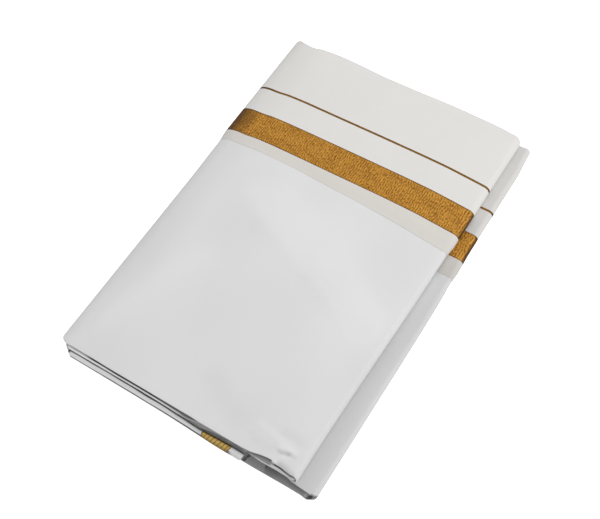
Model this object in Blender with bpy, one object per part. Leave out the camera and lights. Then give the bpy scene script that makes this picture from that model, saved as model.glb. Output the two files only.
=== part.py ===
"""A dhoti folded for the shelf: one long cotton cloth with a gold zari border.

The cloth is folded across its width into panels, with the bordered edge turned back on top
as a flap, and then halved again and again along its length. The last halving leaves one
round spine at -X and two "books" of layers that open at +X, the lower one reaching further.

Every sheet that wraps the stack follows one path in the X-Z plane. Seen from the near end
(-Y) it starts between the books, rounds the upper book, crosses the top, goes down the
spine, runs back underneath and rounds the lower book into the gap again. A point of a
sheet is given by its stretch and place on that path, its Y, and how far outside the
cover's outer face it lies. Metres, +Z up, origin on the floor under the box's middle.
"""
import bpy
import bmesh
import numpy as np

# ---- driving sizes -------------------------------------------------------------------
HALF_WIDTH = 0.1312      # X, half of the outer box
HALF_LENGTH = 0.1946     # Y, half of the outer box
HEIGHT = 0.0213          # top of the flap
CLOTH_WALL = 0.0010      # thickness given to a single outer sheet
COVER_WALL = 0.0012      # the cover, two sheets deep
GAP = 0.0003             # clear space between neighbouring solids
RISE = CLOTH_WALL + GAP  # what the flap adds on each face that it covers

COVER_TOP = HEIGHT - RISE
MIDDLE = 0.0100          # height of the gap between the two books
SPINE_DEPTH = 0.0160     # how far the rounded spine reaches in X
SLOT_END = -0.0950       # X where the cover's ends stop, deep between the books
BEAD = 0.0010            # radius of the cover's near fold
COVER_TUCK = 0.0018      # how far inside the far fold the cover ends
COVER_END_ROUND = 0.0010 # how far that end is rounded back

# ---- the folded outline, as rows of (where, value) ------------------------------------
# X of the outermost point of each fold of the cover, along Y
UPPER_EDGE = ((-0.195, 0.1121), (0.020, 0.1124), (0.055, 0.1155), (0.180, 0.1158),
              (0.195, 0.1152))
LOWER_EDGE = ((-0.195, 0.1312), (-0.060, 0.1309), (0.000, 0.1304), (0.032, 0.1292),
              (0.070, 0.1275), (0.160, 0.1273), (0.172, 0.1264), (0.182, 0.1256),
              (0.192, 0.1250))
SPINE_EDGE = ((-0.195, -0.1291), (0.000, -0.1289), (0.060, -0.1294), (0.195, -0.1299))
# Y of the far fold, along X
FAR_EDGE = ((-0.1312, 0.1946), (-0.1255, 0.1946), (-0.1190, 0.1922), (-0.1090, 0.1911),
            (-0.0980, 0.1935), (-0.0760, 0.1946), (-0.0500, 0.1936), (-0.0300, 0.1925),
            (0.0020, 0.1924), (0.0400, 0.1929), (0.0760, 0.1921), (0.0970, 0.1912),
            (0.1080, 0.1899), (0.1180, 0.1888), (0.1240, 0.1902), (0.1312, 0.1904))
# Y of the cover's near fold, along X: on the top, and on the underside
NEAR_TOP = ((-0.1312, -0.1887), (0.0680, -0.1887), (0.0790, -0.1864), (0.0860, -0.1857),
            (0.0920, -0.1864), (0.1020, -0.1884), (0.1140, -0.1903))
NEAR_UNDER = ((-0.1312, -0.1896), (0.0590, -0.1896), (0.0660, -0.1930), (0.1060, -0.1936),
              (0.1180, -0.1933), (0.1255, -0.1942), (0.1285, -0.1930), (0.1312, -0.1905))
# the same for the sheets in the gap between the books, which show only near the folds
NEAR_GAP = ((-0.0950, -0.1830), (0.0850, -0.1830), (0.1060, -0.1905), (0.1160, -0.1925),
            (0.1250, -0.1934), (0.1312, -0.1900))
# corners rounded in plan: X where each starts, and its radius
NEAR_LEFT_FROM, NEAR_LEFT_RADIUS = -0.1163, 0.0135
LAYERS_LEFT_FROM, LAYERS_LEFT_RADIUS = -0.1187, 0.0090
FAR_RIGHT_FROM, FAR_RIGHT_RADIUS = 0.1115, 0.0055
CORNER_LAST = 0.995      # share of the radius where a corner is cut off, short of upright

# ---- the border, as Y in the middle of the top ----------------------------------------
BAND_LOW, BAND_HIGH = 0.0708, 0.0994
LINE_LOW, LINE_HIGH = 0.1275, 0.1287
FLAP_EDGE = ((-0.1312, 0.0595), (-0.0700, 0.0598), (0.0000, 0.0570), (0.0950, 0.0520),
             (0.1180, 0.0515))
# how far the border leaves its middle height, along X on the top
BORDER_BOW = ((-0.1312, -0.0026), (-0.1090, -0.0020), (-0.0950, -0.0005), (-0.0730, 0.0),
              (0.0300, 0.0), (0.0680, -0.0006), (0.0890, -0.0018), (0.1180, -0.0038))
BORDER_SHIFT_UNDER = -0.0175   # the last fold lies askew, so the lower book's border is nearer
FLAP_SPREAD_FROM = 0.0180      # Y where the books start to part for the flap
FLAP_SPREAD_TO = 0.0320        # Y where there is full room for it
# section of the flap's far fold: how far inside the far edge, and how far outside the cover
FOLD_SECTION = ((0.0022, RISE), (0.0007, 0.0008), (0.0, -0.0001), (0.0, -0.0012),
                (0.0006, -0.0017), (0.0012, -0.0014), (0.0011, -0.0003), (0.0018, 0.0002),
                (0.0027, GAP))

# ---- hidden layers --------------------------------------------------------------------
CORE_CLEAR = COVER_WALL + GAP  # from the cover's outer face to the hidden layers
NEAR_BASE = -0.1856            # Y of the near grooves between the layers
FAR_INSET = 0.0058             # how far inside the far fold their far grooves lie
GROOVE = 0.0001                # floor of a groove past the edge of its layer
END_STEP = 0.0002              # Y between an end's last ring and the straight run
# rounded edges of the layers: depth below the cover's face from and to, reach beyond the groove
RIDGES = ((0.0024, 0.0051, 0.0040), (0.0053, 0.0080, 0.0034))
NEAR_RECESS = ((-0.1312, 0.0), (-0.0100, 0.0), (0.0300, 0.0045), (0.1312, 0.0045))
TURN_POCKET = 0.0115           # how far the first ridge stands back behind the thin turn
LEAF_LEANS = (75, 55, 30)      # degrees of lean along the leaves' rounded ends
LEAF_CORNER = 0.0020           # how far those ends fall back at the far corners

# ---- strip turned up along the near face ----------------------------------------------
STRIP_START, STRIP_END = -0.1174, 0.0616
END_BAND_START, END_BAND_END = 0.0222, 0.0504
STRIP_TOP = ((-0.1174, 0.0132), (-0.0936, 0.0135), (-0.0645, 0.0122), (-0.0334, 0.0120),
             (-0.0179, 0.0115), (-0.0023, 0.0098), (0.0132, 0.0082), (0.0616, 0.0075))
STRIP_BULGE = 0.0004           # how far its middle bows out
STRIP_STEP = 0.0140            # longest run between its sections
STRIP_UP = (0.0, 0.15, 0.40, 0.70, 0.92)   # its points, as shares of the height
STRIP_FOOT = ((-0.1174, -0.1915), (-0.0640, -0.1920), (-0.0130, -0.1927), (0.0120, -0.1937),
              (0.0360, -0.1946), (0.0616, -0.1946))
STRIP_HEAD = ((-0.1174, -0.1911), (0.0200, -0.1911), (0.0500, -0.1905), (0.0616, -0.1912))

# ---- thin turn that peeps out under the cover's near fold -----------------------------
TURN_START, TURN_END = 0.0640, 0.1085
TURN_TOP = 0.0175
TURN_BACK = -0.1790
TURN_LEAD = (0.0060, 0.0020)   # before TURN_START, where its pocket opens and is full
# its rounded nose: how far behind the front, and how far below TURN_TOP
TURN_SECTION = ((0.0005, 0.0), (0.0, 0.0003), (0.0, 0.0007), (0.0005, 0.0010))
TURN_FRONT = ((0.0640, -0.1882), (0.0720, -0.1903), (0.0820, -0.1906), (0.0962, -0.1905),
              (0.1085, -0.1909))


# ---- tables and arcs ------------------------------------------------------------------
def curve(rows, x):
    """Smooth curve through the rows' points that never overshoots them.

    Cubic pieces share a slope at each point: the harmonic mean of the two chords' slopes
    where both rise or both fall, and level otherwise.
    """
    at, value = np.array(rows).T
    chord = np.diff(value) / np.diff(at)
    same_way = np.maximum(chord[:-1] * chord[1:], 0.0)
    total = chord[:-1] + chord[1:]
    slope = np.concatenate((chord[:1], 2 * same_way / np.where(total == 0, 1.0, total), chord[-1:]))
    x = np.clip(x, at[0], at[-1])
    i = np.clip(np.searchsorted(at, x) - 1, 0, len(at) - 2)
    step = at[i + 1] - at[i]
    u = (x - at[i]) / step
    start = (1 + 2 * u) * (1 - u) ** 2 * value[i] + u * (1 - u) ** 2 * step * slope[i]
    end = u * u * (3 - 2 * u) * value[i + 1] - u * u * (1 - u) * step * slope[i + 1]
    return start + end


def ease(low, high, x):
    """0 below low, 1 above high, with a smooth rise between."""
    u = np.clip((x - low) / (high - low), 0.0, 1.0)
    return u * u * (3 - 2 * u)


def corner(distance, radius):
    """How far a corner rounded in plan falls back, from 0 where it starts to the radius."""
    u = np.clip(distance / radius, 0.0, CORNER_LAST)
    return radius * (1 - np.sqrt(1 - u * u))


# ---- the wrapping path ----------------------------------------------------------------
# stretches: 0 under the upper book, 1 upper fold, 2 top, 3 spine, 4 underside, 5 lower fold,
# 6 on the lower book
FOLD_PLACES = np.linspace(0, 1, 10, endpoint=False)
SPINE_PLACES = np.linspace(0, 1, 14, endpoint=False)
TOP_PLACES = (0.0, 0.05, 0.09, 0.12, 0.16, 0.21, 0.30, 0.42, 0.55, 0.68, 0.80, 0.90, 0.96)
UNDER_PLACES = (0.0, 0.12, 0.26, 0.40, 0.56, 0.72, 0.75, 0.87)
OUT_PLACES = (0.0, 0.85, 0.95)
BACK_PLACES = (0.0, 0.05, 0.15)
# Y of the cross sections that every long solid shares
ROWS = (-0.1500, -0.0900, -0.0300, 0.0, 0.0180, 0.0250, 0.0320, 0.0500, 0.0700, 0.1200,
        0.1600, 0.1760)
PLACES = (OUT_PLACES, FOLD_PLACES, TOP_PLACES, SPINE_PLACES, UNDER_PLACES, FOLD_PLACES,
          BACK_PLACES)


def stations():
    """Path stations as two columns: the stretch number and the place along it, 0 to 1."""
    rows = [(number, place) for number, places in enumerate(PLACES) for place in places]
    rows.append((len(PLACES) - 1, 1.0))
    stretch, place = np.array(rows).T
    return stretch[:, None], place[:, None]


def levels(y):
    """Heights of the cover's outer face: underside, lower book, upper book's underside."""
    room = RISE * ease(FLAP_SPREAD_FROM, FLAP_SPREAD_TO, y)
    return room, MIDDLE - GAP / 2 - room, MIDDLE + GAP / 2 + room


def wrap(stretch, place, y, out):
    """X and Z on the path, out metres outside the cover's outer face.

    Flats are straight runs at their level, the two folds are half circles and the spine is
    half an ellipse; going outward raises the levels and the radii alike.
    """
    under, lower_top, upper_under = levels(y)
    upper_radius = (COVER_TOP - upper_under) / 2
    lower_radius = (lower_top - under) / 2
    upper_x = curve(UPPER_EDGE, y) - upper_radius
    lower_x = curve(LOWER_EDGE, y) - lower_radius
    spine_x = curve(SPINE_EDGE, y) + SPINE_DEPTH
    spine_half = (COVER_TOP - under) / 2
    turn = np.pi * (place - 0.5)
    c, s = np.cos(turn), np.sin(turn)
    x = np.choose(stretch.astype(int), [
        SLOT_END + (upper_x - SLOT_END) * place, upper_x + (upper_radius + out) * c,
        upper_x + (spine_x - upper_x) * place, spine_x - (SPINE_DEPTH + out) * c,
        spine_x + (lower_x - spine_x) * place, lower_x + (lower_radius + out) * c,
        lower_x + (SLOT_END - lower_x) * place])
    z = np.choose(stretch.astype(int), [
        upper_under - out, COVER_TOP - upper_radius + (upper_radius + out) * s,
        COVER_TOP + out, under + spine_half - (spine_half + out) * s,
        under - out, under + lower_radius + (lower_radius + out) * s,
        lower_top + out])
    return x, z


def across(stretch, place, y):
    """X of the cover's outer face at each station, at one Y."""
    return wrap(stretch, place, np.full_like(place, y), 0.0)[0]


def near_edge(stretch, place):
    """Y of the cover's near fold at a station, with the left corner rounded in plan."""
    x = across(stretch, place, -HALF_LENGTH)
    top = curve(NEAR_TOP, x)
    under = curve(NEAR_UNDER, x)
    inner = curve(NEAR_GAP, x)
    y = np.choose(stretch.astype(int), [
        inner, inner + (top - inner) * place, top, top + (under - top) * place,
        under, under + (inner - under) * place, inner])
    return y + corner(NEAR_LEFT_FROM - x, NEAR_LEFT_RADIUS)


def far_edge(stretch, place):
    """Y of the far fold at a station, with the upper book's right corner rounded in plan."""
    x = across(stretch, place, HALF_LENGTH)
    upper = stretch < 3
    return curve(FAR_EDGE, x) - upper * corner(x - FAR_RIGHT_FROM, FAR_RIGHT_RADIUS)


def border_offset(stretch, place):
    """How far the border lies from its middle Y: a bow on the top, askew underneath."""
    x = across(stretch, place, BAND_HIGH)
    bow = curve(BORDER_BOW, x)
    left = BORDER_BOW[0][1]
    right = BORDER_BOW[-1][1]
    shift = np.full_like(x, BORDER_SHIFT_UNDER)
    return np.choose(stretch.astype(int), [
        np.full_like(x, right), bow, bow, bow, left + (shift - left) * place, shift, shift])


# ---- meshes ---------------------------------------------------------------------------
def make_material(name, colour, roughness, metallic=0.0):
    """Principled material with one colour."""
    material = bpy.data.materials.new(name)
    material.use_nodes = True
    shader = material.node_tree.nodes["Principled BSDF"]
    shader.inputs["Base Color"].default_value = (*colour, 1.0)
    shader.inputs["Roughness"].default_value = roughness
    shader.inputs["Metallic"].default_value = metallic
    return material


def cap_faces(ring, rows_from):
    """Faces over an end ring: one face, or a ladder where both long sides follow ROWS.

    A ladder's ring reaches the first row at rows_from and comes back along them at its end.
    """
    if rows_from is None:
        return [ring]
    count = len(ROWS)
    ahead, back = ring[rows_from:rows_from + count], ring[:-count - 1:-1]
    rungs = [[ahead[i], ahead[i + 1], back[i + 1], back[i]] for i in range(count - 1)]
    ends = [ring[:rows_from + 1] + [back[0]], ring[rows_from + count - 1:len(ring) - count + 1]]
    return rungs + ends


def add_sweep(name, points, material, rows_from=None):
    """Closed body from a grid of points: rings closed round, the first and last ring capped."""
    count, around = points.shape[:2]
    index = np.arange(count * around).reshape(count, around)
    following = np.roll(index, -1, axis=1)
    quads = np.stack((index[:-1], following[:-1], following[1:], index[1:]), axis=-1)
    faces = quads.reshape(-1, 4).tolist()
    for ring in (index[0], index[-1]):
        faces += cap_faces(ring.tolist(), rows_from)
    mesh = bpy.data.meshes.new(name)
    mesh.from_pydata(points.reshape(-1, 3).tolist(), [], faces)
    shape = bmesh.new()
    shape.from_mesh(mesh)
    bmesh.ops.recalc_face_normals(shape, faces=shape.faces)
    shape.to_mesh(mesh)
    shape.free()
    mesh.shade_smooth()
    mesh.set_sharp_from_angle(angle=np.radians(40))
    mesh.materials.append(material)
    thing = bpy.data.objects.new(name, mesh)
    bpy.context.scene.collection.objects.link(thing)
    return thing


def wrapped_points(stretch, place, y, out):
    """Points of a wrapping sheet for arrays of Y and outward distance, one row a station."""
    x, z = wrap(stretch, place, y, out)
    return np.stack((x, y, z), axis=-1)


def spread(columns):
    """Grid whose columns are the given per-station arrays or single numbers."""
    return np.concatenate(np.broadcast_arrays(*[np.atleast_2d(c) for c in columns]), axis=1)


# ---- pieces ---------------------------------------------------------------------------
def cover_panel(material):
    """The outer panel, from its beaded near fold to just inside the far fold.

    The bead is a round of its radius at the front, a little over one radius deep where it
    meets the outer face, and slopes up to the wall's inner face three radii in.
    """
    stretch, place = stations()
    near = near_edge(stretch, place)
    far = far_edge(stretch, place) - COVER_TUCK
    bead = np.where((stretch == 0) | (stretch == 6), COVER_WALL / 2, BEAD)
    round_front = np.radians((-60, -20, 20, 60))
    y = [near + bead * (1 - np.cos(a)) for a in round_front] + [near + 1.2 * bead]
    out = [-bead + bead * np.sin(a) for a in round_front] + [0.0]
    y += list(ROWS) + [far - COVER_END_ROUND, far, far - COVER_END_ROUND] + list(reversed(ROWS))
    out += [0.0] * (len(ROWS) + 1) + [-COVER_WALL / 2] + [-COVER_WALL] * (len(ROWS) + 1)
    y += [near + 3.0 * bead, near + 1.2 * bead]
    out += [-COVER_WALL, -2 * bead]
    return add_sweep("cover_panel", wrapped_points(stretch, place, spread(y), spread(out)), material)


def flap_piece(name, low, high, material, cuts=1):
    """A flush stretch of the flap between two border lines, one sheet thick."""
    stretch, place = stations()
    offset = border_offset(stretch, place)
    edge = curve(FLAP_EDGE, across(stretch, place, BAND_LOW))
    start = (edge if low is None else low + GAP / 2) + offset
    end = high - GAP / 2 + offset
    share = np.linspace(0, 1, cuts + 2)
    rows = [start + (end - start) * s for s in share]
    y = rows + list(reversed(rows))
    out = [RISE] * len(rows) + [GAP] * len(rows)
    return add_sweep(name, wrapped_points(stretch, place, spread(y), spread(out)), material)


def flap_fold(material):
    """The far stretch of the flap, with its rounded fold over the cover's far end."""
    stretch, place = stations()
    start = LINE_HIGH + GAP / 2 + border_offset(stretch, place)
    far = far_edge(stretch, place)
    rows = [row for row in ROWS if row > LINE_HIGH]
    y = [start] + rows + [far - inside for inside, _ in FOLD_SECTION] + rows[::-1] + [start]
    out = [RISE] * (len(rows) + 1) + [rise for _, rise in FOLD_SECTION] + [GAP] * (len(rows) + 1)
    return add_sweep("flap_fold", wrapped_points(stretch, place, spread(y), spread(out)), material)


def leaf_stations():
    """Stations of the hidden layers: stretch, place, and the lean of the rounded leaf ends."""
    leans = np.radians(LEAF_LEANS)
    rows = [(2, 0.0, lean) for lean in leans] + [(2, place, 0.0) for place in TOP_PLACES]
    rows += [(3, place, 0.0) for place in np.linspace(0, 1, 12, endpoint=False)]
    rows += [(4, place, 0.0) for place in UNDER_PLACES + (1.0,)]
    rows += [(4, 1.0, lean) for lean in reversed(leans)]
    stretch, place, lean = np.array(rows).T
    return stretch[:, None], place[:, None], lean[:, None]


def ridged_end(base, direction, setback):
    """Y and depth of an end's rounded layer edges, from the cover's side inwards."""
    y, depth = [], []
    for number, (shallow, deep, reach) in enumerate(RIDGES):
        for angle in np.radians((60, 20, -20, -60)):
            y.append(base + direction * reach * np.cos(angle) - direction * setback * (number == 0))
            depth.append((shallow + deep) / 2 - (deep - shallow) / 2 * np.sin(angle))
        y.append(base)
        depth.append(deep + GROOVE)
    return y[:-1], depth[:-1]


def hidden_layers(material):
    """All the layers inside: two leaves joined at the spine, with ridged near and far ends."""
    stretch, place, lean = leaf_stations()
    x = across(stretch, place, -HALF_LENGTH)
    upper = (stretch == 2) | ((stretch == 3) & (place < 0.5))
    near = NEAR_BASE + curve(NEAR_RECESS, x) + corner(LAYERS_LEFT_FROM - x, LAYERS_LEFT_RADIUS)
    far = far_edge(stretch, place) - FAR_INSET - LEAF_CORNER * (1 - np.cos(lean))
    opens, full = (TURN_START - lead for lead in TURN_LEAD)
    for_turn = upper * ease(opens, full, x) * TURN_POCKET
    near_y, depth = ridged_end(near, -1, for_turn)
    far_y, _ = ridged_end(far, 1, 0.0)
    thick = MIDDLE - GAP / 2 - 2 * CORE_CLEAR
    inner = CORE_CLEAR + thick
    y = [near] + near_y + [near + END_STEP] + list(ROWS) + [far - END_STEP] + far_y[::-1] + [far]
    y = spread(y + list(reversed(ROWS)))
    deep = [CORE_CLEAR] + depth + [inner] * (len(ROWS) + 2) + depth[::-1]
    deep = np.array(deep + [CORE_CLEAR] * (len(ROWS) + 1))[None, :]
    # where the books part for the flap the upper leaf thins on one face, the rest on both
    room = levels(y)[0]
    half = (thick - np.where(stretch == 2, 1, 2) * room) / 2
    share = 1 - 2 * (deep - CORE_CLEAR) / thick
    deep = CORE_CLEAR + half * (1 - share * np.cos(lean))
    x, z = wrap(stretch + 0 * y, place + 0 * y, y, -deep)
    points = np.stack((x + half * np.sin(lean), y, z), axis=-1)
    return add_sweep("hidden_layers", points, material, rows_from=len(near_y) + 2)


def strip_piece(name, start, end, material):
    """A run of the strip: a leaning wall with a bulge and a rounded top, lofted along X."""
    steps = max(2, int((end - start) / STRIP_STEP))
    x = np.linspace(start, end, steps + 1)[:, None]
    foot, head = curve(STRIP_FOOT, x), curve(STRIP_HEAD, x)
    up = np.array(STRIP_UP)[None, :]
    front = foot + (head - foot) * up - STRIP_BULGE * np.sin(np.pi * up)
    back = front + CLOTH_WALL
    crest = head + CLOTH_WALL / 2
    y = np.concatenate((front, crest, back[:, ::-1]), axis=1)
    z = curve(STRIP_TOP, x) * np.concatenate((up, [[1.0]], up[:, ::-1]), axis=1)
    return add_sweep(name, np.stack((x + 0 * y, y, z), axis=-1), material)


def under_turn(material):
    """The thin turn of cloth that peeps out below the cover's raised near fold."""
    x = np.linspace(TURN_START, TURN_END, 9)[:, None]
    front = curve(TURN_FRONT, x)
    inside, below = np.array(TURN_SECTION).T
    back = np.full_like(x, TURN_BACK)
    y = np.concatenate((front + inside, back, back), axis=1)
    z = TURN_TOP - np.concatenate((below, below[-1:], below[:1]))[None, :] + 0 * x
    return add_sweep("under_turn", np.stack((x + 0 * y, y, z), axis=-1), material)


def main():
    for thing in list(bpy.data.objects):
        bpy.data.objects.remove(thing)
    white = make_material("white cotton", (0.84, 0.84, 0.83), 0.85)
    cream = make_material("selvedge cotton", (0.82, 0.79, 0.74), 0.85)
    gold = make_material("gold zari", (0.43, 0.20, 0.04), 0.45, 0.35)
    hidden_layers(white)
    cover_panel(white)
    flap_piece("flap_selvedge", None, BAND_LOW, cream)
    flap_piece("flap_zari_band", BAND_LOW, BAND_HIGH, gold)
    flap_piece("flap_plain", BAND_HIGH, LINE_LOW, white)
    flap_piece("flap_zari_line", LINE_LOW, LINE_HIGH, gold, cuts=0)
    flap_fold(white)
    under_turn(white)
    strip_piece("end_strip", STRIP_START, END_BAND_START - GAP / 2, white)
    strip_piece("end_zari_band", END_BAND_START + GAP / 2, END_BAND_END - GAP / 2, gold)
    strip_piece("end_margin", END_BAND_END + GAP / 2, STRIP_END, cream)


main()
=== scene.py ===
"""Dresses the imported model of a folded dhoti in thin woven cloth.

The cloth is folded in panels, with its bordered edge turned back on top as a flap, and then
halved again and again. The last halving leaves a round spine at -X and two books of layers
that open at +X. Every sheet that wraps the stack follows one path in the X-Z plane: under
the upper book, round its fold, over the top, down the spine, along the underside, round the
lower book's fold and into the gap again. A point of a sheet is given by its stretch and place
on that path, its Y, and how far outside the panel's outer face it lies. Metres.
"""

import bpy
import numpy as np
from mathutils import Matrix, Vector


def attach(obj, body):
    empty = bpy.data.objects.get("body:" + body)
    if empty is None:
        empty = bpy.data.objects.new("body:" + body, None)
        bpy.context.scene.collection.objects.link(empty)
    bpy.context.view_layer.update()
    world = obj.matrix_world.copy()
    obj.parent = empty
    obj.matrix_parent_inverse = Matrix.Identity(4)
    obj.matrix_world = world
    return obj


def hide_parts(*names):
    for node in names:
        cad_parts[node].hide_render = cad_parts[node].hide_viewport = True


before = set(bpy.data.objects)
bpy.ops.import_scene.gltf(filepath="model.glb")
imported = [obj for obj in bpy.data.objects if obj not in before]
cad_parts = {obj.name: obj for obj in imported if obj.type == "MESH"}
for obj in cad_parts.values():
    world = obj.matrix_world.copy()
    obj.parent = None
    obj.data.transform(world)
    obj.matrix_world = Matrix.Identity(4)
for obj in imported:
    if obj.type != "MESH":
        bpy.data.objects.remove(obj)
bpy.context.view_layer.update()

bl_info = {
    "name": "Folded dhoti cloth",
    "version": (1, 0, 0),
    "blender": (4, 5, 0),
    "location": "3D View > Sidebar > Dhoti",
    "description": "Builds the folded dhoti's cloth, its gold border and a studio stage",
    "category": "Object",
}

# ---- the folded outline, close to the solids' values and finer at its edges
HEIGHT = 0.0213
RISE = 0.0013            # room that the flap takes on each face it covers
GAP = 0.0003
COVER_TOP = HEIGHT - RISE
COVER_WALL = 0.0012
MIDDLE = 0.0100
SPINE_DEPTH = 0.0160
SLOT_END = -0.0950
BEAD = 0.0007
COVER_TUCK = 0.0018
HALF_LENGTH = 0.1946
UPPER_EDGE = (
    (-0.195, 0.1135), (-0.155, 0.1132), (-0.12, 0.1134), (-0.06, 0.1143), (-0.03, 0.1149),
    (0.03, 0.1156), (0.07, 0.1158), (0.18, 0.1158), (0.195, 0.1152))
LOWER_EDGE = (
    (-0.195, 0.1312), (-0.06, 0.1309), (0.0, 0.1304), (0.032, 0.1292), (0.07, 0.1275),
    (0.16, 0.1273), (0.172, 0.1264), (0.182, 0.1256), (0.192, 0.125))
SPINE_EDGE = ((-0.195, -0.1291), (0.0, -0.1289), (0.06, -0.1294), (0.195, -0.1299))
FAR_EDGE = (
    (-0.1312, 0.1946), (-0.1255, 0.1946), (-0.119, 0.1922), (-0.109, 0.1911), (-0.098, 0.1935),
    (-0.076, 0.1946), (-0.05, 0.1936), (-0.03, 0.1925), (0.002, 0.1924), (0.04, 0.1929),
    (0.076, 0.1921), (0.097, 0.1912), (0.108, 0.1899), (0.118, 0.1888), (0.124, 0.1902),
    (0.1312, 0.1904))
NEAR_TOP = (
    (-0.1312, -0.1879), (-0.1089, -0.1877), (-0.0889, -0.1877), (-0.0762, -0.188),
    (-0.0509, -0.1882), (-0.026, -0.1884), (0.0105, -0.1887), (0.0224, -0.1891), (0.0574, -0.1891),
    (0.068, -0.1887), (0.079, -0.1866), (0.086, -0.1858), (0.088, -0.1858), (0.0895, -0.1871),
    (0.0928, -0.1871), (0.0963, -0.1872), (0.1025, -0.1881), (0.1075, -0.1886), (0.111, -0.1881),
    (0.1143, -0.1884))
NEAR_UNDER = (
    (-0.1312, -0.1896), (0.056, -0.1896), (0.061, -0.1934), (0.069, -0.1936), (0.106, -0.1933),
    (0.118, -0.1935), (0.1236, -0.1941), (0.1252, -0.1931), (0.1279, -0.192), (0.1299, -0.1912),
    (0.1312, -0.1893))
NEAR_GAP = (
    (-0.095, -0.183), (0.085, -0.183), (0.106, -0.1897), (0.116, -0.1908), (0.125, -0.1914),
    (0.1285, -0.1914), (0.1302, -0.1905), (0.1312, -0.1893))
NEAR_LEFT_FROM, NEAR_LEFT_RADIUS = -0.1163, 0.0135
LAYERS_LEFT = ((-0.115, 0.0042), (-0.1163, 0.011))   # from X, radius: the two roundings add up
FAR_RIGHT_FROM, FAR_RIGHT_RADIUS = 0.1115, 0.0055
CORNER_LAST = 0.995
NEAR_BASE = -0.1856
NEAR_RECESS = ((-0.1312, 0.0), (0.006, 0.0), (0.032, 0.0045), (0.1312, 0.0045))
TURN_POCKET = 0.0115
TURN_START, TURN_END = 0.0640, 0.1112
TURN_TOP, TURN_BACK, TURN_WALL, TURN_WIDTH = 0.0175, -0.1790, 0.0010, 0.0115
TURN_LIFT, TURN_LIFT_LENGTH, TURN_LIFT_REACH = 0.00015, 0.031, 0.006
TURN_LEAD = (0.0060, 0.0020)
TURN_FRONT = (
    (0.064, -0.1882), (0.072, -0.1903), (0.082, -0.1906), (0.0962, -0.1905), (0.1085, -0.1909),
    (0.1112, -0.1908))

# ---- the border
BAND_LOW, BAND_HIGH = 0.0704, 0.0995
LINE_LOW, LINE_HIGH = 0.1270, 0.1292
FLAP_EDGE = (
    (-0.1312, 0.0595), (-0.07, 0.0598), (0.0, 0.057), (0.095, 0.052), (0.118, 0.0515))
BORDER_BOW = (
    (-0.1312, -0.0026), (-0.109, -0.002), (-0.095, -0.0005), (-0.073, 0.0), (0.03, 0.0),
    (0.068, -0.0006), (0.089, -0.0018), (0.118, -0.0038))
BORDER_SHIFT_UNDER = -0.0175
FLAP_SPREAD_FROM, FLAP_SPREAD_TO = 0.0180, 0.0320

# ---- the strip at the near end
STRIP_START, STRIP_END = -0.1164, 0.0616
STRIP_STEP = 0.0016
STRIP_FOOT_RADIUS, STRIP_HEAD_RADIUS, STRIP_BOW = 0.0007, 0.0009, 0.0004
END_BAND_START, END_BAND_END = 0.0222, 0.0490
STRIP_TOP = (
    (-0.1174, 0.0132), (-0.0936, 0.0135), (-0.0645, 0.0122), (-0.0334, 0.012), (-0.0179, 0.0115),
    (-0.0023, 0.0098), (0.0132, 0.0082), (0.0616, 0.0075))
STRIP_FOOT = (
    (-0.1174, -0.191), (-0.064, -0.1915), (-0.013, -0.1922), (0.012, -0.193),
    (0.022, -0.1934), (0.036, -0.1941), (0.0616, -0.1944))
# how far the top of the strip's cross threads lies ahead of their foot in X
STRIP_SKEW = (
    (-0.1164, 0.0012), (-0.1, 0.0), (-0.02, 0.0), (0.0222, 0.0015), (0.049, 0.004),
    (0.0616, 0.0035))
STRIP_HEAD = (
    (-0.1174, -0.1908), (-0.015, -0.1911), (0.0016, -0.1916), (0.0166, -0.192), (0.03, -0.1916),
    (0.05, -0.1908), (0.0616, -0.1912))

# ---- sheets that only the looks have
# inner plies: name, depth below the panel's face from and to, how far the near fold reaches
# beyond the near base, and how far the far fold lies inside the far edge
PLIES = (("ply_first", 0.00160, 0.00235, 0.0002, 0.0120),
         ("ply_second", 0.00262, 0.00488, 0.0044, 0.0032))
PLY_ADVANCE = (
    (-0.1312, 0.0), (-0.045, 0.0), (-0.02, 0.0003), (-0.01, 0.0006), (0.0, 0.0009),
    (0.025, 0.0011), (0.045, 0.0), (0.1312, 0.0))
BOOK = 0.00985           # thickness of one book at the near end
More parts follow.
